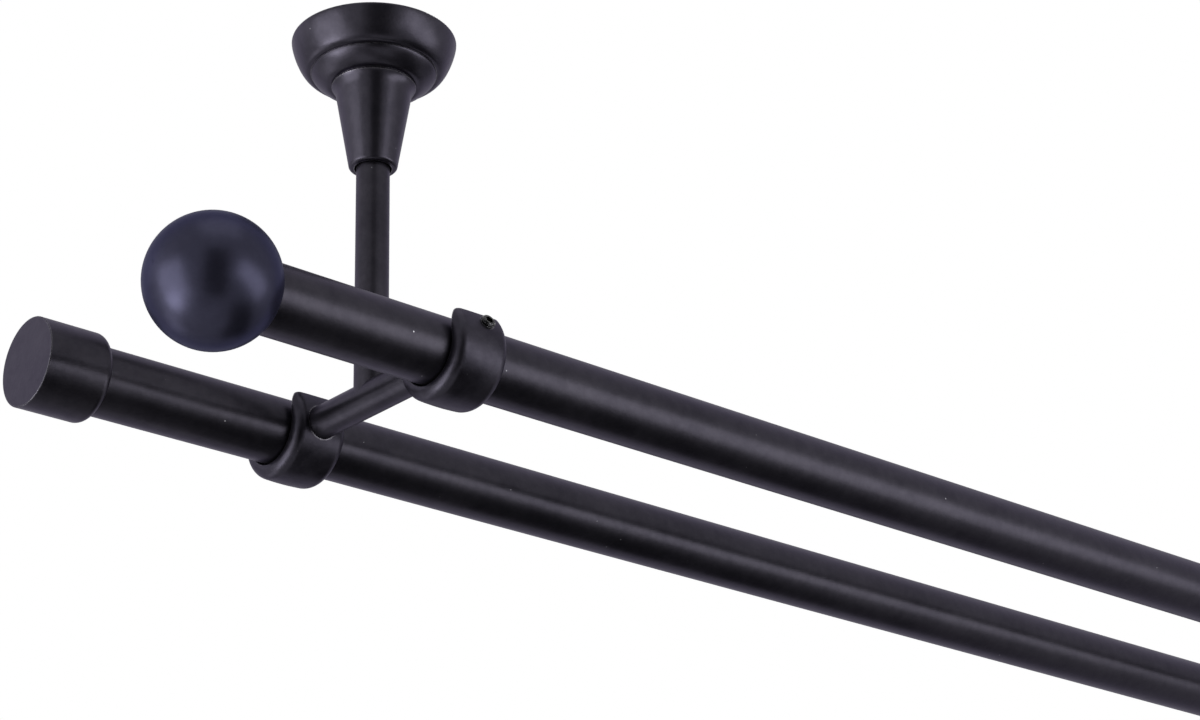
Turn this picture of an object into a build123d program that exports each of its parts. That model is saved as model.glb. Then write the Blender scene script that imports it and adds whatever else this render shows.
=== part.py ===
from build123d import *
import os
from math import cos, radians, sin, sqrt

# A double curtain rod that hangs from the ceiling on two brackets. Sizes are in millimetres.
# The origin is on the ceiling, over the stem of the left bracket. X runs along the poles to the
# right, Y from the front pole to the rear pole, and Z up.

# Poles
pole_diameter = 28.0
pole_wall = 1.0
pole_length = 1200.0
pole_spacing = 104.5
pole_drop = 162.5
overhang = 119.0

# Cradles that hold the poles: rings with an open top
ring_clearance = 0.5
ring_wall = 5.9
ring_width = 24.8
ring_offset = 0.4
ring_crown = 0.6
ring_edge_radius = 4.5
ring_mouth_radius = 0.6
horn_tip_radius = 1.0
set_screw_diameter = 6.0
set_screw_length = 8.0
set_screw_angle = 25.0
set_screw_offset = 2.5
set_screw_socket = 3.0
set_screw_socket_depth = 3.0
set_screw_chamfer = 0.5
tip_clearance = 0.02

# Stem and cross arm
rod_diameter = 14.0
rod_clearance = 0.1
rod_chamfer = 0.4
arm_seat_depth = 2.0
arm_screw_diameter = 4.0
arm_screw_length = 14.0
arm_screw_head = 7.6
arm_screw_socket = 2.5
arm_screw_socket_depth = 1.2
arm_screw_sink = 0.1
tapped_hole_spare = 1.5
thread_clearance = 0.05

# Canopy against the ceiling
canopy_diameter = 69.5
canopy_height = 20.5
canopy_lip = 0.6
canopy_rim_radius = 0.4
canopy_wall = 2.0
canopy_floor = 2.0
bell_top_pull = 1.8
bell_bottom_pull = 4.4
shoulder_diameter = 54.2
shoulder_drop = 14.4
bead_inset = 0.8
bead_rise = 0.4
foot_top_pull = 1.2
foot_bottom_pull = 2.0
foot_diameter = 38.0

# Cone that carries the stem
cone_height = 39.0
cone_lip_diameter = 35.4
cone_lip_height = 0.8
cone_neck_diameter = 31.4
cone_neck_drop = 5.5
cone_end_diameter = 20.0
cone_edge_radius = 1.5
cone_mouth_diameter = 15.6
cone_mouth_depth = 3.0
stem_grip = 22.0
spigot_diameter = 10.0
spigot_length = 14.0
grip_screw_diameter = 5.0
grip_screw_length = 4.0
grip_screw_height = 12.0
grip_screw_socket = 2.5
grip_screw_socket_depth = 1.8
grip_screw_chamfer = 0.4

# Ceiling plate inside the canopy
plate_diameter = 56.0
plate_thickness = 2.5
plate_boss_diameter = 18.0
plate_hole_spacing = 40.0
plate_hole_diameter = 5.2
plate_sink_diameter = 9.6

# Ball finials and end caps
socket_clearance = 0.2
ball_diameter = 51.5
ball_centre_inset = 8.7
ball_mouth_radius = 0.4
cap_diameter = 36.4
cap_length = 28.5
cap_end_wall = 5.0
cap_face_radius = 0.4
cap_mouth_radius = 3.6

# Plugs and studs that hold the finials and caps
plug_flange_thickness = 1.5
plug_flange_inset = 0.3
plug_length = 18.0
plug_core_diameter = 22.0
plug_rib_count = 6
plug_rib_width = 2.0
plug_clearance = 0.1
stud_diameter = 6.0
stud_in_plug = 14.0
stud_in_finial = 3.5
stud_hole_spare = 0.5

# Sizes that follow from the ones above
bracket_spacing = pole_length - 2 * overhang
pole_radius = pole_diameter / 2
bore_radius = pole_radius + ring_clearance
ring_radius = bore_radius + ring_wall
rod_radius = rod_diameter / 2
arm_seat_radius = ring_radius - arm_seat_depth
arm_reach = pole_spacing / 2 - arm_seat_radius
cone_top = -canopy_height
cone_bottom = cone_top - cone_height
socket_radius = pole_radius + socket_clearance

brackets = {"left": 0.0, "right": bracket_spacing}
poles = {"front": -1, "rear": 1}
pole_ends = {"left": (-1, -overhang), "right": (1, bracket_spacing + overhang)}

os.makedirs("parts", exist_ok=True)


def level(x, z):
    """Level plane at a height over a bracket, facing up."""
    return Plane(origin=(x, 0, z), x_dir=(1, 0, 0), z_dir=(0, 0, 1))


def upright(x):
    """Upright plane through a stem's axis: its x is the radius, its y the height."""
    return Plane(origin=(x, 0, 0), x_dir=(1, 0, 0), z_dir=(0, -1, 0))


def behind_stem(x, radius, z):
    """Upright plane behind a stem, facing away from it."""
    return Plane(origin=(x, radius, z), x_dir=(1, 0, 0), z_dir=(0, 1, 0))


def across_pole(side, x):
    """Plane across a pole, facing along X."""
    return Plane(origin=(x, side * pole_spacing / 2, -pole_drop), x_dir=(0, 1, 0), z_dir=(1, 0, 0))


def beside_pole(side, x, radius, angle):
    """Plane at a radius from a pole's axis, facing out. The angle is 0 towards the other pole, 90 up."""
    way = (0, -side * cos(radians(angle)), sin(radians(angle)))
    y = side * pole_spacing / 2 + radius * way[1]
    return Plane(origin=(x, y, radius * way[2] - pole_drop), x_dir=(1, 0, 0), z_dir=way)


def pole_section(side, x):
    """Upright plane through a pole's axis: its x runs along the pole, its y up."""
    return Plane(origin=(x, side * pole_spacing / 2, -pole_drop), x_dir=(1, 0, 0), z_dir=(0, -1, 0))


def along_pole(side, way, x):
    """Upright plane on a pole's axis at its end: its x runs outwards from the end, its y up."""
    return Plane(origin=(x, side * pole_spacing / 2, -pole_drop), x_dir=(way, 0, 0), z_dir=(0, -way, 0))


def outwards(side, way, x, distance):
    """Plane across a pole, at a distance outwards from its end, facing outwards."""
    centre = (x + way * distance, side * pole_spacing / 2, -pole_drop)
    return Plane(origin=centre, x_dir=(0, 1, 0), z_dir=(way, 0, 0))


def save(piece, name):
    """Name a finished piece and write it."""
    piece.label = name
    export_step(piece, f"parts/{name}.step")


def hexagon(width):
    """Hexagon of a width across its flats."""
    return RegularPolygon(radius=width / sqrt(3), side_count=6)


def ceiling_plate(x):
    """Steel disc screwed to the ceiling, with a tapped boss that reaches the canopy's floor."""
    with BuildPart() as plate:
        with BuildSketch(level(x, 0)):
            Circle(plate_diameter / 2)
        extrude(amount=-plate_thickness)
        with BuildSketch(level(x, -plate_thickness)):
            Circle(plate_boss_diameter / 2)
        extrude(amount=plate_thickness + canopy_floor - canopy_height)
        with BuildSketch(level(x, canopy_floor - canopy_height)):
            Circle(spigot_diameter / 2)
        extrude(amount=canopy_height - canopy_floor - plate_thickness, mode=Mode.SUBTRACT)
        underside = Plane(origin=(x, 0, -plate_thickness), x_dir=(1, 0, 0), z_dir=(0, 0, -1))
        with Locations(underside):
            with GridLocations(plate_hole_spacing, 1, 2, 1):
                CounterSinkHole(
                    radius=plate_hole_diameter / 2,
                    counter_sink_radius=plate_sink_diameter / 2,
                    depth=plate_thickness,
                    counter_sink_angle=90,
                )
    return plate.part


def canopy(x):
    """Bell-shaped shell that hides the ceiling plate, with a bead and a rounded foot below its shoulder."""
    rim = canopy_diameter / 2
    shoulder = shoulder_diameter / 2
    bead = shoulder - bead_inset
    foot = foot_diameter / 2
    bead_z = -shoulder_drop - bead_rise
    with BuildPart() as shell:
        with BuildSketch(upright(x)):
            with BuildLine():
                Polyline((0, 0), (rim, 0), (rim, -canopy_lip))
                Bezier(
                    (rim, -canopy_lip),
                    (rim, -canopy_lip - bell_top_pull),
                    (shoulder + bell_bottom_pull, -shoulder_drop),
                    (shoulder, -shoulder_drop),
                )
                Polyline((shoulder, -shoulder_drop), (bead, -shoulder_drop), (bead, bead_z))
                Bezier(
                    (bead, bead_z),
                    (bead, bead_z - foot_top_pull),
                    (foot + foot_bottom_pull, -canopy_height),
                    (foot, -canopy_height),
                )
                Polyline((foot, -canopy_height), (0, -canopy_height), (0, 0))
            make_face()
        revolve(axis=Axis((x, 0, 0), (0, 0, 1)))
        fillet(shell.edges().group_by(Axis.Z)[-1], radius=canopy_rim_radius)
        with BuildSketch(upright(x)):
            with BuildLine():
                Polyline((0, 0), (rim - canopy_wall, 0), (rim - canopy_wall, -canopy_lip))
                Bezier(
                    (rim - canopy_wall, -canopy_lip),
                    (rim - canopy_wall, -canopy_lip - bell_top_pull),
                    (bead - canopy_wall + bell_bottom_pull, canopy_wall - shoulder_drop),
                    (bead - canopy_wall, canopy_wall - shoulder_drop),
                )
                Polyline(
                    (bead - canopy_wall, canopy_wall - shoulder_drop),
                    (foot - canopy_wall, canopy_floor - canopy_height),
                    (0, canopy_floor - canopy_height),
                    (0, 0),
                )
            make_face()
        revolve(axis=Axis((x, 0, 0), (0, 0, 1)), mode=Mode.SUBTRACT)
        with BuildSketch(level(x, -canopy_height)):
            Circle(spigot_diameter / 2 + rod_clearance)
        extrude(amount=canopy_floor, mode=Mode.SUBTRACT)
    return shell.part


def cone_socket(x):
    """Turned cone with a lip at the top, a threaded spigot above and a blind bore for the stem."""
    lip = cone_lip_diameter / 2
    neck = cone_neck_diameter / 2
    end = cone_end_diameter / 2
    lip_z = cone_top - cone_lip_height
    neck_z = cone_top - cone_neck_drop
    taper = (end - neck, cone_bottom - neck_z)
    with BuildPart() as cone:
        with BuildSketch(upright(x)):
            with BuildLine():
                Polyline((0, cone_top), (lip, cone_top), (lip, lip_z))
                Spline((lip, lip_z), (neck, neck_z), tangents=((-1, -1), taper))
                Polyline((neck, neck_z), (end, cone_bottom), (0, cone_bottom), (0, cone_top))
            make_face()
        revolve(axis=Axis((x, 0, 0), (0, 0, 1)))
        fillet(cone.edges().filter_by(GeomType.CIRCLE).group_by(Axis.Z)[0], radius=cone_edge_radius)
        with BuildSketch(level(x, cone_top)):
            Circle(spigot_diameter / 2 - thread_clearance)
        extrude(amount=spigot_length)
        with BuildSketch(level(x, cone_bottom)):
            Circle(cone_mouth_diameter / 2)
        extrude(amount=cone_mouth_depth, mode=Mode.SUBTRACT)
        with BuildSketch(level(x, cone_bottom)):
            Circle(rod_radius + rod_clearance)
        extrude(amount=stem_grip, mode=Mode.SUBTRACT)
        with BuildSketch(behind_stem(x, 0, cone_bottom + grip_screw_height)):
            Circle(grip_screw_diameter / 2)
        extrude(amount=lip, mode=Mode.SUBTRACT)
    return cone.part


def stem(x):
    """Upright bar from the cone's bore down to the saddle that is welded on the cross arm."""
    with BuildPart() as bar:
        with BuildSketch(level(x, -pole_drop)):
            Circle(rod_radius)
        extrude(amount=pole_drop + cone_bottom + stem_grip)
        chamfer(bar.edges().group_by(Axis.Z)[-1], length=rod_chamfer)
        with BuildSketch(behind_stem(x, 0, -pole_drop)):
            Circle(rod_radius)
        extrude(amount=rod_diameter, both=True, mode=Mode.SUBTRACT)
    return bar.part


def cross_arm(x):
    """Round bar between the two rings, with a tapped hole in each end."""
    with BuildPart() as bar:
        with BuildSketch(behind_stem(x, 0, -pole_drop)):
            Circle(rod_radius)
        extrude(amount=arm_reach, both=True)
        chamfer(bar.edges().filter_by(GeomType.CIRCLE), length=rod_chamfer)
        for side in poles.values():
            with BuildSketch(beside_pole(side, x, arm_seat_radius, 0)):
                Circle(arm_screw_diameter / 2)
            extrude(amount=arm_screw_length + tapped_hole_spare, mode=Mode.SUBTRACT)
    return bar.part


def ring(side, x):
    """Crowned ring with an open top, a seat for the arm and a tapped hole for the set screw."""
    middle = x + ring_offset
    half = ring_width / 2
    edge = ring_radius - ring_crown
    with BuildPart() as band:
        with BuildSketch(pole_section(side, middle)) as profile:
            with BuildLine():
                Polyline((-half, edge), (-half, bore_radius), (half, bore_radius), (half, edge))
                ThreePointArc((-half, edge), (0, ring_radius), (half, edge))
            make_face()
            fillet(profile.vertices().group_by(Axis.Y)[-1], radius=ring_edge_radius)
            fillet(profile.vertices().group_by(Axis.Y)[0], radius=ring_mouth_radius)
        revolve(axis=Axis((x, side * pole_spacing / 2, -pole_drop), (1, 0, 0)))
        with BuildSketch(across_pole(side, middle - half)) as section:
            Circle(ring_radius)
            Rectangle(2 * bore_radius, ring_radius, align=(Align.CENTER, Align.MIN), mode=Mode.SUBTRACT)
            fillet(section.vertices().group_by(Axis.Y)[-1], radius=horn_tip_radius)
        extrude(amount=ring_width, mode=Mode.INTERSECT)
        with BuildSketch(beside_pole(side, x, arm_seat_radius, 0)):
            Circle(rod_radius + rod_clearance)
        extrude(amount=arm_seat_depth, mode=Mode.SUBTRACT)
        bore_side = beside_pole(side, x, bore_radius + arm_screw_sink, 0)
        with Locations(Plane(origin=bore_side.origin, x_dir=(1, 0, 0), z_dir=-bore_side.z_dir)):
            CounterSinkHole(
                radius=arm_screw_diameter / 2 + thread_clearance,
                counter_sink_radius=arm_screw_head / 2 + thread_clearance,
                depth=ring_wall,
                counter_sink_angle=90,
            )
        with BuildSketch(beside_pole(side, x + set_screw_offset, 0, 180 - set_screw_angle)):
            Circle(set_screw_diameter / 2)
        extrude(amount=ring_radius, mode=Mode.SUBTRACT)
    return band.part


def grub_screw(plane, diameter, length, socket, socket_depth, edge):
    """Headless screw that stands on a plane with its tip, and has a hexagon socket in its other end."""
    with BuildPart() as screw:
        with BuildSketch(plane):
            Circle(diameter / 2 - thread_clearance)
        extrude(amount=length)
        chamfer(screw.edges().filter_by(GeomType.CIRCLE), length=edge)
        with BuildSketch(plane.offset(length)):
            hexagon(socket)
        extrude(amount=-socket_depth, mode=Mode.SUBTRACT)
    return screw.part


def arm_screw(side, x):
    """Countersunk screw from a ring's bore into the arm's end."""
    head = beside_pole(side, x, bore_radius + arm_screw_sink, 0)
    shank_radius = arm_screw_diameter / 2 - thread_clearance
    head_radius = arm_screw_head / 2
    with BuildPart() as screw:
        with BuildSketch(head):
            Circle(head_radius)
        extrude(amount=head_radius - shank_radius, taper=45)
        with BuildSketch(head):
            Circle(shank_radius)
        extrude(amount=arm_screw_length)
        with BuildSketch(head):
            hexagon(arm_screw_socket)
        extrude(amount=arm_screw_socket_depth, mode=Mode.SUBTRACT)
    return screw.part


def pole(side):
    """Steel tube that the curtain's rings slide on."""
    with BuildPart() as tube:
        with BuildSketch(across_pole(side, -overhang)):
            Circle(pole_radius)
            Circle(pole_radius - pole_wall, mode=Mode.SUBTRACT)
        extrude(amount=pole_length)
    return tube.part


def ball_finial(side, way, x):
    """Ball with a deep round socket that goes over a pole's end."""
    ball_radius = ball_diameter / 2
    with BuildPart() as ball:
        with BuildSketch(along_pole(side, way, x)):
            with Locations((-ball_centre_inset, 0)):
                Circle(ball_radius)
                Rectangle(ball_diameter, ball_diameter, align=(Align.CENTER, Align.MAX), mode=Mode.SUBTRACT)
        revolve(axis=Axis((x, side * pole_spacing / 2, -pole_drop), (1, 0, 0)))
        with BuildSketch(outwards(side, way, x, plug_flange_thickness)):
            Circle(socket_radius)
        extrude(amount=-ball_diameter, mode=Mode.SUBTRACT)
        rims = ball.edges().filter_by(GeomType.CIRCLE).sort_by(Axis.X)
        fillet(rims[-1 if way < 0 else 0], radius=ball_mouth_radius)
        with BuildSketch(outwards(side, way, x, plug_flange_thickness)):
            Circle(stud_diameter / 2)
        extrude(amount=stud_in_finial + stud_hole_spare, mode=Mode.SUBTRACT)
    return ball.part


def end_cap(side, way, x):
    """Plain cap over a pole's end, flat outside and rounded at its mouth."""
    face = plug_flange_thickness + cap_end_wall
    with BuildPart() as cap:
        with BuildSketch(outwards(side, way, x, face)):
            Circle(cap_diameter / 2)
        extrude(amount=-cap_length)
        rims = cap.edges().filter_by(GeomType.CIRCLE).sort_by(Axis.X)
        fillet(rims[0 if way < 0 else -1], radius=cap_face_radius)
        rims = cap.edges().filter_by(GeomType.CIRCLE).sort_by(Axis.X)
        fillet(rims[-1 if way < 0 else 0], radius=cap_mouth_radius)
        with BuildSketch(outwards(side, way, x, plug_flange_thickness)):
            Circle(socket_radius)
        extrude(amount=-cap_length, mode=Mode.SUBTRACT)
        with BuildSketch(outwards(side, way, x, plug_flange_thickness)):
            Circle(stud_diameter / 2)
        extrude(amount=stud_in_finial + stud_hole_spare, mode=Mode.SUBTRACT)
    return cap.part


def pole_plug(side, way, x):
    """Moulded plug pressed into a pole's end, with ribs on its core and a flange over the end."""
    with BuildPart() as plug:
        with BuildSketch(outwards(side, way, x, 0)):
            Circle(pole_radius - plug_flange_inset)
        extrude(amount=plug_flange_thickness)
        bore = pole_radius - pole_wall - plug_clearance
        with BuildSketch(outwards(side, way, x, 0)):
            Circle(plug_core_diameter / 2)
            with PolarLocations(0, plug_rib_count):
                Rectangle(bore, plug_rib_width, align=(Align.MIN, Align.CENTER))
            Circle(bore, mode=Mode.INTERSECT)
        extrude(amount=-plug_length)
        with BuildSketch(outwards(side, way, x, plug_flange_thickness)):
            Circle(stud_diameter / 2)
        extrude(amount=-plug_flange_thickness - stud_in_plug - stud_hole_spare, mode=Mode.SUBTRACT)
    return plug.part


def finial_stud(side, way, x):
    """Threaded stud between a plug and its finial or cap."""
    with BuildPart() as stud:
        with BuildSketch(outwards(side, way, x, -stud_in_plug)):
            Circle(stud_diameter / 2 - thread_clearance)
        extrude(amount=stud_in_plug + plug_flange_thickness + stud_in_finial)
        chamfer(stud.edges().filter_by(GeomType.CIRCLE), length=set_screw_chamfer)
    return stud.part


for name, x in brackets.items():
    save(ceiling_plate(x), f"{name}_ceiling_plate")
    save(canopy(x), f"{name}_canopy")
    save(cone_socket(x), f"{name}_cone_socket")
    grip_plane = behind_stem(x, rod_radius + tip_clearance, cone_bottom + grip_screw_height)
    grip_screw = grub_screw(
        grip_plane,
        grip_screw_diameter,
        grip_screw_length,
        grip_screw_socket,
        grip_screw_socket_depth,
        grip_screw_chamfer,
    )
    save(grip_screw, f"{name}_grip_screw")
    save(stem(x), f"{name}_stem")
    save(cross_arm(x), f"{name}_cross_arm")
    for row, side in poles.items():
        save(ring(side, x), f"{name}_{row}_ring")
        tip_plane = beside_pole(
            side,
            x + set_screw_offset,
            pole_radius + tip_clearance,
            180 - set_screw_angle,
        )
        set_screw = grub_screw(
            tip_plane,
            set_screw_diameter,
            set_screw_length,
            set_screw_socket,
            set_screw_socket_depth,
            set_screw_chamfer,
        )
        save(set_screw, f"{name}_{row}_set_screw")
        save(arm_screw(side, x), f"{name}_{row}_arm_screw")

for row, side in poles.items():
    save(pole(side), f"{row}_pole")
    for name, (way, x) in pole_ends.items():
        save(pole_plug(side, way, x), f"{name}_{row}_plug")
        save(finial_stud(side, way, x), f"{name}_{row}_stud")

for name, (way, x) in pole_ends.items():
    save(ball_finial(poles["front"], way, x), f"{name}_ball_finial")
    save(end_cap(poles["rear"], way, x), f"{name}_end_cap")
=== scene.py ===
from math import cos, pi, radians, sin
import bpy
from mathutils import Matrix, Vector


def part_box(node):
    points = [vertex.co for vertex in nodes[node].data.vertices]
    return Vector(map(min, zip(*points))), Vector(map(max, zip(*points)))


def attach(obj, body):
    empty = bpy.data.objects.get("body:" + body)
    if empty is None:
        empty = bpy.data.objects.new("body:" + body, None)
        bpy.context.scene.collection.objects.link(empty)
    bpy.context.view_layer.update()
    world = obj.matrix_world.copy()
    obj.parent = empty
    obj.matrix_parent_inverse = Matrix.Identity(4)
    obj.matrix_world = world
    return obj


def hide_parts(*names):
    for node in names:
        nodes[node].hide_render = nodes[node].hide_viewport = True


# Double ceiling curtain rod: two satin black poles, bell canopies, ball finials and plain caps.
# Metres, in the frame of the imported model. The origin is on the ceiling over the left stem.

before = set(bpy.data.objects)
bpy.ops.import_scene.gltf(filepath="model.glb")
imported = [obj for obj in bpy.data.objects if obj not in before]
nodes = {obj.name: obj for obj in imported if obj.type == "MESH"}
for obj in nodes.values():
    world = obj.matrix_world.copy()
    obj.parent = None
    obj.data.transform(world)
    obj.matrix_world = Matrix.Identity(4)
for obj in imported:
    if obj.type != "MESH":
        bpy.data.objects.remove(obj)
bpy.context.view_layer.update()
print("frame loaded:", len(nodes), "nodes")


# Camera: below the poles, to the left, looking up along them. Angles are in degrees.

cameraPlace = {
    "location": (-0.5912, -0.7928, -0.5777),
    "yaw": 42.05,  # turned from +Y towards +X
    "pitch": 23.54,  # upwards
    "roll": -1.58,
    "lens": 80.2,  # in millimetres, like the sensor
    "sensor": 36.0,
    "clip": (0.01, 50),  # the nearest and the farthest that it sees
}


def makeCamera():
    yaw, pitch, roll = (radians(cameraPlace[key]) for key in ("yaw", "pitch", "roll"))
    ahead = Vector((sin(yaw) * cos(pitch), cos(yaw) * cos(pitch), sin(pitch)))
    levelRight = Vector((cos(yaw), -sin(yaw), 0))
    levelUp = levelRight.cross(ahead)
    right = cos(roll) * levelRight + sin(roll) * levelUp
    up = -sin(roll) * levelRight + cos(roll) * levelUp
    data = bpy.data.cameras.new("photoCamera")
    data.lens = cameraPlace["lens"]
    data.sensor_width = cameraPlace["sensor"]
    data.clip_start, data.clip_end = cameraPlace["clip"]
    camera = bpy.data.objects.new("photoCamera", data)
    turn = Matrix((right, up, -ahead)).transposed().to_4x4()
    camera.matrix_world = Matrix.Translation(cameraPlace["location"]) @ turn
    bpy.context.scene.collection.objects.link(camera)
    bpy.context.scene.camera = camera


makeCamera()
print("camera placed")


# Small tools for node trees

def addNode(tree, kind, **settings):
    # a setting that starts with a capital is a socket, any other is the node's own
    node = tree.nodes.new(kind)
    for key, value in settings.items():
        if key[0].isupper():
            node.inputs[key.replace("_", " ")].default_value = value
        else:
            setattr(node, key, value)
    return node


def newMaterial(name):
    material = bpy.data.materials.new(name)
    material.use_nodes = True
    tree = material.node_tree
    return material, tree, tree.nodes["Principled BSDF"]


def combine(tree, operation, first, second):
    sums = addNode(tree, "ShaderNodeMath", operation=operation)
    tree.links.new(first, sums.inputs[0])
    tree.links.new(second, sums.inputs[1])
    return sums.outputs[0]


def mixColours(tree, factor, first, second):
    # sockets 6 and 7, and output 2, are the ones for colours
    mix = addNode(tree, "ShaderNodeMix", data_type="RGBA")
    tree.links.new(factor, mix.inputs["Factor"])
    for socket, value in ((mix.inputs[6], first), (mix.inputs[7], second)):
        if isinstance(value, tuple):
            socket.default_value = (*value, 1)
        else:
            tree.links.new(value, socket)
    return mix.outputs[2]


def noiseAt(tree, place, grain, detail, rough):
    noise = addNode(tree, "ShaderNodeTexNoise", Scale=1 / grain, Detail=detail, Roughness=rough)
    tree.links.new(place, noise.inputs["Vector"])
    return noise.outputs["Fac"]


def spread(tree, value, low, high, start=0.0, end=1.0):
    stretch = addNode(
        tree, "ShaderNodeMapRange", From_Min=low, From_Max=high, To_Min=start, To_Max=end
    )
    tree.links.new(value, stretch.inputs["Value"])
    return stretch.outputs["Result"]


def edgeWearAndHighlight(tree, look):
    # where the rounded normal leaves the real one, the surface is an edge; this mask places rubbed
    # wear and painted edge highlights
    rounded = addNode(tree, "ShaderNodeBevel", samples=6, Radius=look["edgeWidth"])
    surface = addNode(tree, "ShaderNodeNewGeometry")
    dot = addNode(tree, "ShaderNodeVectorMath", operation="DOT_PRODUCT")
    tree.links.new(rounded.outputs["Normal"], dot.inputs[0])
    tree.links.new(surface.outputs["Normal"], dot.inputs[1])
    return spread(tree, dot.outputs["Value"], *look["edgeSpan"])


def relief(tree, height, depth, under=None):
    bump = addNode(tree, "ShaderNodeBump", Strength=1.0, Distance=depth)
    tree.links.new(height, bump.inputs["Height"])
    if under:
        tree.links.new(under, bump.inputs["Normal"])
    return bump.outputs["Normal"]


# Satin black coat: near-black with a violet cast, orange peel, rubbed edges made lighter still as
# painted edge highlights, and a little dust

satinCoat = {
    "deep": (0.0218, 0.0203, 0.0266),
    "light": (0.0335, 0.0313, 0.0395),
    "shadeSpan": (0.75, 1.25),  # clouds and mottle together, from deep to light
    # edge colour: rubbed wear, made lighter to stand as painted edge highlights
    "rubbedAndHighlight": (0.30, 0.29, 0.32),
    "edgeWidth": 0.0009,
    "edgeSpan": (0.994, 0.88),  # from untouched to rubbed and painted highlight
    "patchSpan": (0.35, 0.75),  # how the grit breaks up the rubbed and highlit edges
    "dust": (0.40, 0.40, 0.43),
    "dustShare": 0.11,
    "dustGap": 0.0042,
    "dustSpan": (0.080, 0.050),  # from a speck's rim to its full colour, as shares of the gap
    "flake": 0.90,  # how much of the coat is fine metal flake
    "roughness": 0.33,
    "roughnessSwing": 0.03,
    "cloudSpan": (0.3, 0.7),  # of the clouds, from shinier to duller
    "grazing": 0.15,  # how much duller the coat is where it turns away
    "turnedSpan": (0.55, 1.0),
    "specular": 0.31,
    "turnedTint": (0.65, 0.62, 0.73),  # its colour where it turns away
    # patterns: size of a grain, detail and roughness
    "clouds": (0.035, 4.0, 0.6),
    "mottle": (0.005, 5.0, 0.7),
    "peel": (0.0014, 1.0, 0.4),
    "peelDepth": 0.000022,
    "grit": (0.00045, 3.0, 0.6),
    "gritDepth": 0.0000075,
}


def dustSpecks(tree, place, look):
    # some cells of a fine grid hold a speck
    cells = addNode(tree, "ShaderNodeTexVoronoi", Scale=1 / look["dustGap"], Randomness=1.0)
    tree.links.new(place, cells.inputs["Vector"])
    dots = spread(tree, cells.outputs["Distance"], *look["dustSpan"])
    draw = addNode(tree, "ShaderNodeSeparateColor")
    tree.links.new(cells.outputs["Color"], draw.inputs["Color"])
    chosen = spread(tree, draw.outputs["Red"], 1 - look["dustShare"], 1.0)
    return combine(tree, "MULTIPLY", dots, chosen)


def makeCoat(name, look):
    material, tree, shader = newMaterial(name)
    link = tree.links.new
    place = addNode(tree, "ShaderNodeTexCoord").outputs["Object"]
    clouds = noiseAt(tree, place, *look["clouds"])
    grit = noiseAt(tree, place, *look["grit"])
    peel = noiseAt(tree, place, *look["peel"])
    mottle = noiseAt(tree, place, *look["mottle"])
    shade = spread(tree, combine(tree, "ADD", clouds, mottle), *look["shadeSpan"])
    colour = mixColours(tree, shade, look["deep"], look["light"])
    patches = spread(tree, grit, *look["patchSpan"])
    # lighter edges, broken up by the grit: rubbed wear and painted edge highlights
    wornAndHighlit = combine(tree, "MULTIPLY", edgeWearAndHighlight(tree, look), patches)
    colour = mixColours(tree, wornAndHighlit, colour, look["rubbedAndHighlight"])
    colour = mixColours(tree, dustSpecks(tree, place, look), colour, look["dust"])
    link(colour, shader.inputs["Base Color"])
    matt, swing = look["roughness"], look["roughnessSwing"]
    uneven = spread(tree, clouds, *look["cloudSpan"], matt - swing, matt + swing)
    turned = addNode(tree, "ShaderNodeLayerWeight", Blend=0.5).outputs["Facing"]
    duller = spread(tree, turned, *look["turnedSpan"], 0.0, look["grazing"])
    link(combine(tree, "ADD", uneven, duller), shader.inputs["Roughness"])
    peeled = relief(tree, peel, look["peelDepth"])
    link(relief(tree, grit, look["gritDepth"], peeled), shader.inputs["Normal"])
    shader.inputs["Specular IOR Level"].default_value = look["specular"]
    shader.inputs["Specular Tint"].default_value = (*look["turnedTint"], 1)
    shader.inputs["Metallic"].default_value = look["flake"]
    return material


rodCoat = dict(satinCoat, rubbedAndHighlight=satinCoat["light"])  # the stem and arm get no rubbed wear or painted edge highlight
blueCoat = dict(
    satinCoat,
    deep=(0.0250, 0.0245, 0.0410),
    light=(0.0315, 0.0310, 0.0510),
    rubbedAndHighlight=(0.150, 0.143, 0.165),
    dustShare=0.03,
    flake=0.77,
    roughness=0.32,
    peelDepth=0.000010,
    turnedTint=(0.36, 0.36, 0.50),
)
# a lighter copy of the satin coat for the canopy and cone; the lift is painted light, so that they
# read brighter, and its grit is coarser
spunLitCoat = dict(
    satinCoat,
    deep=(0.0255, 0.0237, 0.0315),
    light=(0.0375, 0.0350, 0.0455),
    rubbedAndHighlight=(0.36, 0.35, 0.38),
    roughness=0.31,
    gritDepth=0.0000130,
)
castCoat = dict(
    satinCoat,
    deep=(0.0195, 0.0181, 0.0245),
    light=(0.0325, 0.0303, 0.0395),
    clouds=(0.012, 4.0, 0.6),
    roughness=0.37,
    roughnessSwing=0.05,
    gritDepth=0.0000110,
)


# Metal and nylon that mostly sit inside

plainFinish = {
    "grainNoise": (4.0, 0.65),  # detail and roughness of the pattern
    "patchNoise": (3.0, 0.5),
    "patchSize": 9,  # in grains
    "patternSpan": (0.3, 0.7),
    "roughnessSwing": (-0.06, 0.08),
    "edgeWidth": 0.0001,
    "edgeSpan": (0.95, 0.75),
}
toolSteel = dict(
    plainFinish,
    deep=(0.012, 0.012, 0.013),
    light=(0.024, 0.024, 0.026),
    # light crest colour: rubbed wear and painted highlights on the thread crests
    rubbedAndHighlight=(0.50, 0.50, 0.53),
    metallic=1.0,
    roughness=0.26,
    grain=0.0006,
    depth=0.000002,
)
zincSteel = dict(
    plainFinish,
    deep=(0.42, 0.43, 0.44),
    light=(0.62, 0.63, 0.64),
    rubbedAndHighlight=(0.80, 0.81, 0.82),
    metallic=1.0,
    roughness=0.38,
    grain=0.0030,
    depth=0.000006,
)
blackNylon = dict(
    plainFinish,
    deep=(0.012, 0.012, 0.013),
    light=(0.020, 0.020, 0.021),
    rubbedAndHighlight=(0.030, 0.030, 0.031),
    metallic=0.0,
    roughness=0.55,
    grain=0.0004,
    depth=0.000010,
)


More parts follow.
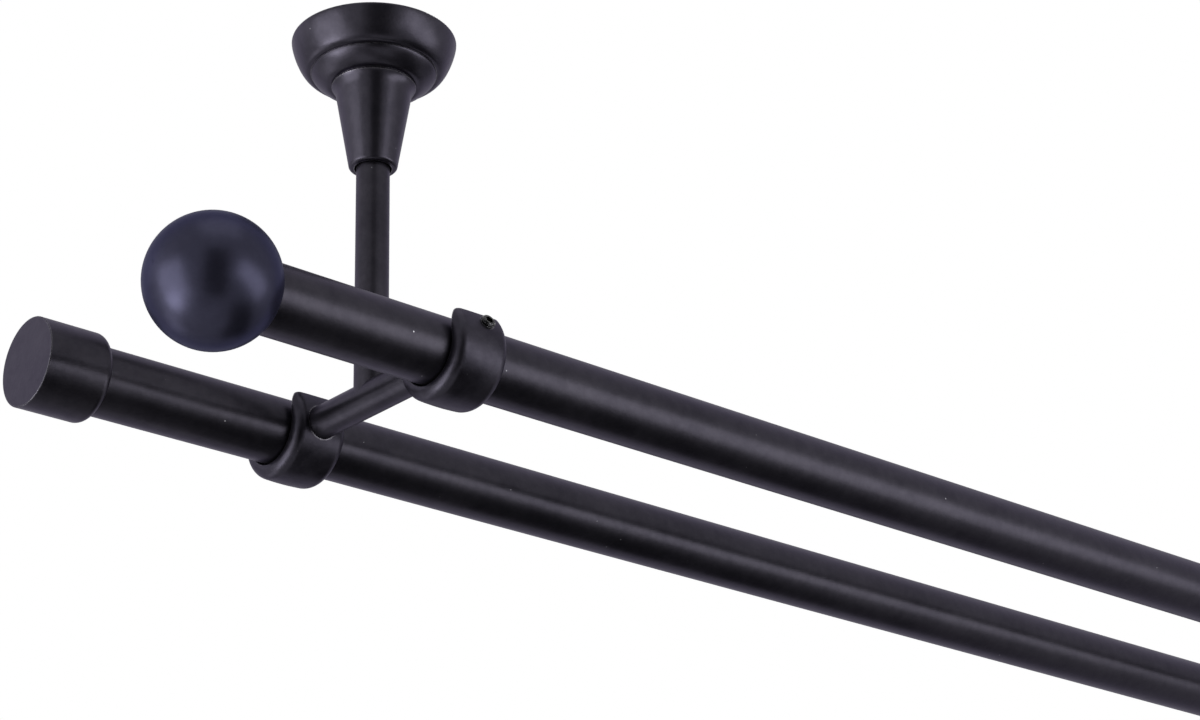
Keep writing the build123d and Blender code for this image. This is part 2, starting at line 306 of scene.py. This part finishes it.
def makeGrained(name, look):
    material, tree, shader = newMaterial(name)
    link = tree.links.new
    place = addNode(tree, "ShaderNodeTexCoord").outputs["Object"]
    grain = noiseAt(tree, place, look["grain"], *look["grainNoise"])
    patches = noiseAt(tree, place, look["grain"] * look["patchSize"], *look["patchNoise"])
    shade = spread(tree, patches, *look["patternSpan"])
    colour = mixColours(tree, shade, look["deep"], look["light"])
    # lighter edges: rubbed wear, and on the screw crests painted highlights
    colour = mixColours(tree, edgeWearAndHighlight(tree, look), colour, look["rubbedAndHighlight"])
    link(colour, shader.inputs["Base Color"])
    low, high = (look["roughness"] + swing for swing in look["roughnessSwing"])
    link(spread(tree, grain, *look["patternSpan"], low, high), shader.inputs["Roughness"])
    link(relief(tree, grain, look["depth"]), shader.inputs["Normal"])
    shader.inputs["Metallic"].default_value = look["metallic"]
    return material


finishes = {
    "black_coat": makeCoat("satinBlackCoat", satinCoat),
    "rod_black_coat": makeCoat("rodBlackCoat", rodCoat),
    "blue_black_coat": makeCoat("blueBlackCoat", blueCoat),
    "spun_lit_black_coat": makeCoat("spunLitBlackCoat", spunLitCoat),
    "cast_black_coat": makeCoat("castBlackCoat", castCoat),
    "black_steel": makeGrained("blackScrewSteel", toolSteel),
    "zinc_steel": makeGrained("zincSteel", zincSteel),
    "black_nylon": makeGrained("blackNylon", blackNylon),
}
print("finishes made:", ", ".join(finishes))


def dress(piece, slotName):
    piece.data.materials.clear()
    piece.data.materials.append(finishes[slotName])


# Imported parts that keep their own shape, by the ends of their names

keptParts = {
    "canopy": "spun_lit_black_coat",
    "cone_socket": "spun_lit_black_coat",
    "stem": "rod_black_coat",
    "cross_arm": "rod_black_coat",
    "ring": "cast_black_coat",
    "end_cap": "black_coat",
    "ball_finial": "blue_black_coat",
    "ceiling_plate": "zinc_steel",
    "stud": "zinc_steel",
    "arm_screw": "zinc_steel",
    "plug": "black_nylon",
}

for nodeName, part in nodes.items():
    for ending, slotName in keptParts.items():
        if nodeName.endswith(ending):
            dress(part, slotName)
print("packed parts dressed")


# New pieces are grids of points: rows of one loop each, closed around

def turnsAround(count):
    return [2 * pi * i / count for i in range(count)]


def gridPiece(name, rows, slotName, stands, crease):
    around = len(rows[0])
    points = [point for row in rows for point in row]
    faces = []
    for i in range(len(rows) - 1):
        near, far = i * around, (i + 1) * around
        for j in range(around):
            k = (j + 1) % around
            faces.append((near + j, near + k, far + k, far + j))
    mesh = bpy.data.meshes.new(name)
    mesh.from_pydata(points, [], faces)
    mesh.validate()
    mesh.shade_smooth()
    mesh.set_sharp_from_angle(angle=radians(crease))
    piece = bpy.data.objects.new(name, mesh)
    bpy.context.scene.collection.objects.link(piece)
    dress(piece, slotName)
    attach(piece, "root")
    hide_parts(stands)


# Poles: drawn tubes with broken edges at their cut ends

poleTube = {
    "wall": 0.001,
    "edge": 0.0002,
    "around": 160,
    "step": 0.04,  # along the pole
    "crease": 30,  # edges sharper than this, in degrees, stay crisp
}


def makePole(row):
    low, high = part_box(f"{row}_pole")
    middle = (low + high) / 2
    outer = (high.z - low.z) / 2
    inner = outer - poleTube["wall"]
    edge = poleTube["edge"]
    length = high.x - low.x
    count = round(length / poleTube["step"])
    stations = [low.x + edge + (length - 2 * edge) * i / count for i in range(count + 1)]
    outline = [(low.x + edge, inner), (low.x, inner + edge), (low.x, outer - edge)]
    outline += [(x, outer) for x in stations]
    outline += [(high.x, outer - edge), (high.x, inner + edge)]
    outline += [(x, inner) for x in reversed(stations)]
    rows = []
    for x, radius in outline:
        loop = []
        for turn in turnsAround(poleTube["around"]):
            loop.append((x, middle.y + radius * cos(turn), middle.z + radius * sin(turn)))
        rows.append(loop)
    gridPiece(f"{row}_pole_tube", rows, "black_coat", f"{row}_pole", poleTube["crease"])


for row in ("front", "rear"):
    makePole(row)
print("poles drawn")


# Headless screws with a real thread, a broken edge at each end and a hexagon socket

setScrew = {
    "length": 0.008,
    "radius": 0.00295,
    "pitch": 0.001,
    "threadDepth": 0.00055,
    "threadFlat": 0.12,  # share of the flank that is flat, at crest and root
    "edge": 0.0005,
    "socket": 0.003,  # across its flats
    "socketDepth": 0.0030,
    "socketTip": 0.0004,  # how much deeper its middle is
    "mouthShare": 1.06,  # how much wider the socket starts
    "mouthDepth": 0.0001,
    "cupShare": 0.45,  # hollow in the inner end, as a share of the radius
    "cupDepth": 0.0002,
    "pinhole": 0.0001,  # radius of the last loop in the hollow and in the socket
    "tilt": 25,  # in degrees above level, on the outer side
    "around": 60,
    "turnRows": 12,  # loops in one turn of the thread
    "crease": 40,
}
gripScrew = dict(
    setScrew,
    length=0.004,
    radius=0.00245,
    pitch=0.0008,
    threadDepth=0.00045,
    edge=0.0004,
    socket=0.0025,
    socketDepth=0.0018,
)


def threadRadius(look, along, turn):
    phase = (along / look["pitch"] - turn / (2 * pi)) % 1
    flank = abs(2 * phase - 1)  # 1 at the root, 0 at the crest
    flat = look["threadFlat"]
    cut = min(1, max(0, (flank - flat) / (1 - 2 * flat)))
    radius = look["radius"] - look["threadDepth"] * cut
    ends = min(along, look["length"] - along)
    return min(radius, look["radius"] - look["edge"] + ends)


def makeScrew(name, look, direction, stands):
    low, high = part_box(stands)
    axis = Vector(direction).normalized()
    start = (low + high) / 2 - axis * look["length"] / 2
    across = Vector((1, 0, 0))
    upward = axis.cross(across)

    def loop(along, radiusAt):
        found = []
        for turn in turnsAround(look["around"]):
            arm = across * cos(turn) + upward * sin(turn)
            found.append(tuple(start + axis * along + arm * radiusAt(turn)))
        return found

    def hexRadius(turn):
        return look["socket"] / 2 / cos((turn + pi / 6) % (pi / 3) - pi / 6)

    length, bottom = look["length"], look["length"] - look["socketDepth"]
    count = round(length / look["pitch"] * look["turnRows"])
    rows = [
        loop(look["cupDepth"], lambda turn: look["pinhole"]),
        loop(0, lambda turn: look["radius"] * look["cupShare"]),
    ]
    for i in range(count + 1):
        along = length * i / count
        rows.append(loop(along, lambda turn: threadRadius(look, along, turn)))
    rows.append(loop(length, lambda turn: look["mouthShare"] * hexRadius(turn)))
    rows.append(loop(length - look["mouthDepth"], hexRadius))
    rows.append(loop(bottom, hexRadius))
    rows.append(loop(bottom - look["socketTip"], lambda turn: look["pinhole"]))
    gridPiece(name, rows, "black_steel", stands, look["crease"])


tilt = radians(setScrew["tilt"])
for end in ("left", "right"):
    for row, side in (("front", -1), ("rear", 1)):
        outward = (0, side * cos(tilt), sin(tilt))
        makeScrew(f"{end}_{row}_socket_screw", setScrew, outward, f"{end}_{row}_set_screw")
    makeScrew(f"{end}_stem_screw", gripScrew, (0, 1, 0), f"{end}_grip_screw")
print("screws cut")


# What the floor and the world have in common

def seenDirectly(tree):
    # 1 for what the camera sees, also in gloss and through glass, and 0 for light on the object
    rays = addNode(tree, "ShaderNodeLightPath")
    seen = rays.outputs["Is Camera Ray"]
    for kind in ("Is Glossy Ray", "Is Transmission Ray"):
        seen = combine(tree, "MAXIMUM", seen, rays.outputs[kind])
    return seen


# Floor far below the ceiling

floorLook = {
    "drop": 2.35,
    "radius": 40.0,
    "around": 64,
    "rings": 12,
    "colour": (0.78, 0.78, 0.77),
    "glow": 0.55,  # added where the floor is seen directly
    "fade": (3.0, 9.0),  # from here to there it turns into the white background
}


def floorMesh():
    drop, around, rings = -floorLook["drop"], floorLook["around"], floorLook["rings"]
    points, faces = [(0, 0, drop)], []
    for i in range(1, rings + 1):
        reach = floorLook["radius"] * (i / rings) ** 2
        points += [(reach * cos(turn), reach * sin(turn), drop) for turn in turnsAround(around)]
    faces += [(0, 1 + j, 1 + (j + 1) % around) for j in range(around)]
    for i in range(rings - 1):
        inner, outer = 1 + i * around, 1 + (i + 1) * around
        for j in range(around):
            k = (j + 1) % around
            faces.append((inner + j, outer + j, outer + k, inner + k))
    mesh = bpy.data.meshes.new("studioFloor")
    mesh.from_pydata(points, [], faces)
    return mesh


def floorMaterial():
    material, tree, shader = newMaterial("paleFloor")
    link = tree.links.new
    place = addNode(tree, "ShaderNodeTexCoord").outputs["Object"]
    reach = addNode(tree, "ShaderNodeVectorMath", operation="LENGTH")
    link(place, reach.inputs[0])
    far = spread(tree, reach.outputs["Value"], *floorLook["fade"])
    colour = mixColours(tree, far, floorLook["colour"], (0.0, 0.0, 0.0))
    link(colour, shader.inputs["Base Color"])
    shader.inputs["Roughness"].default_value = 1.0
    shader.inputs["Specular IOR Level"].default_value = 0.0
    shader.inputs["Emission Color"].default_value = (1, 1, 1, 1)
    level = spread(tree, far, 0, 1, floorLook["glow"], 1.0)
    glow = combine(tree, "MULTIPLY", seenDirectly(tree), level)
    link(glow, shader.inputs["Emission Strength"])
    # seen from below, it lets the view through
    side = addNode(tree, "ShaderNodeNewGeometry")
    clear = addNode(tree, "ShaderNodeBsdfTransparent")
    either = addNode(tree, "ShaderNodeMixShader")
    link(side.outputs["Backfacing"], either.inputs["Fac"])
    link(shader.outputs["BSDF"], either.inputs[1])
    link(clear.outputs["BSDF"], either.inputs[2])
    link(either.outputs["Shader"], tree.nodes["Material Output"].inputs["Surface"])
    return material


def makeFloor():
    floor = bpy.data.objects.new("studioFloor", floorMesh())
    bpy.context.scene.collection.objects.link(floor)
    floor.data.materials.append(floorMaterial())


makeFloor()
print("floor laid")


# Lamps and cards stand around this point and face it

studioAim = (0.0, 0.0, -0.12)


def studioPlace(spec):
    turn, lift = radians(spec["azimuth"]), radians(spec["height"])
    ray = Vector((cos(turn) * cos(lift), sin(turn) * cos(lift), sin(lift)))
    facing = (-ray).to_track_quat("-Z", "Y").to_matrix().to_4x4()
    roll = Matrix.Rotation(radians(spec.get("roll", 0)), 4, "Z")
    return Matrix.Translation(Vector(studioAim) + ray * spec["distance"]) @ facing @ roll


# Black cards that only the gloss of the coat sees

flagColour = 0.015
flags = {
    "cameraFlag": {"azimuth": -120, "height": -12, "distance": 2.3, "size": (1.6, 3.8)},
    "lowFlag": {"azimuth": -15, "height": -54, "distance": 1.9, "size": (2.5, 1.15)},
}


def makeFlags():
    material, tree, shader = newMaterial("flagCloth")
    shader.inputs["Base Color"].default_value = (flagColour, flagColour, flagColour, 1)
    shader.inputs["Roughness"].default_value = 1.0
    for name, spec in flags.items():
        wide, tall = spec["size"][0] / 2, spec["size"][1] / 2
        mesh = bpy.data.meshes.new(name)
        corners = [(-wide, -tall, 0), (wide, -tall, 0), (wide, tall, 0), (-wide, tall, 0)]
        mesh.from_pydata(corners, [], [(0, 1, 2, 3)])
        mesh.materials.append(material)
        flag = bpy.data.objects.new(name, mesh)
        flag.matrix_world = studioPlace(spec)
        flag.visible_camera = False
        flag.visible_diffuse = False
        flag.visible_shadow = False
        bpy.context.scene.collection.objects.link(flag)


makeFlags()
print("cards hung")


# Soft lamps, in degrees, metres and watts

lamps = {
    "right": {
        "azimuth": -58,
        "height": -6,
        "roll": -20,
        "distance": 2.2,
        "size": (2.4, 1.1),
        "power": 26,
    },
    "left": {"azimuth": 166, "height": -14, "distance": 1.8, "size": (1.5, 1.9), "power": 32},
    "leftCore": {"azimuth": 155, "height": -36, "distance": 1.7, "size": (0.7, 0.7), "power": 8.5},
    "leftBack": {"azimuth": 128, "height": 20, "distance": 2.0, "size": (1.0, 0.9), "power": 1.5},
    "lowBack": {"azimuth": 112, "height": -36, "distance": 2.0, "size": (1.0, 0.6), "power": 4},
    "above": {"azimuth": -110, "height": 72, "distance": 1.8, "size": (1.4, 1.4), "power": 5},
}


def makeLamps():
    for name, lamp in lamps.items():
        data = bpy.data.lights.new(name, "AREA")
        data.shape = "RECTANGLE"
        data.size, data.size_y = lamp["size"]
        data.energy = lamp["power"]
        light = bpy.data.objects.new(name, data)
        light.matrix_world = studioPlace(lamp)
        bpy.context.scene.collection.objects.link(light)


makeLamps()
print("lamps set")


# White world

sky = {
    "fill": 0.20,  # its level as light on the object
    "seen": 1.0,  # its level where it is seen directly
}


def makeWorld():
    world = bpy.data.worlds.new("whiteRoom")
    world.use_nodes = True
    tree = world.node_tree
    background = tree.nodes["Background"]
    background.inputs["Color"].default_value = (1, 1, 1, 1)
    level = spread(tree, seenDirectly(tree), 0.0, 1.0, sky["fill"], sky["seen"])
    tree.links.new(level, background.inputs["Strength"])
    bpy.context.scene.world = world


makeWorld()
bpy.context.scene.view_settings.view_transform = "Standard"
print("world lit")
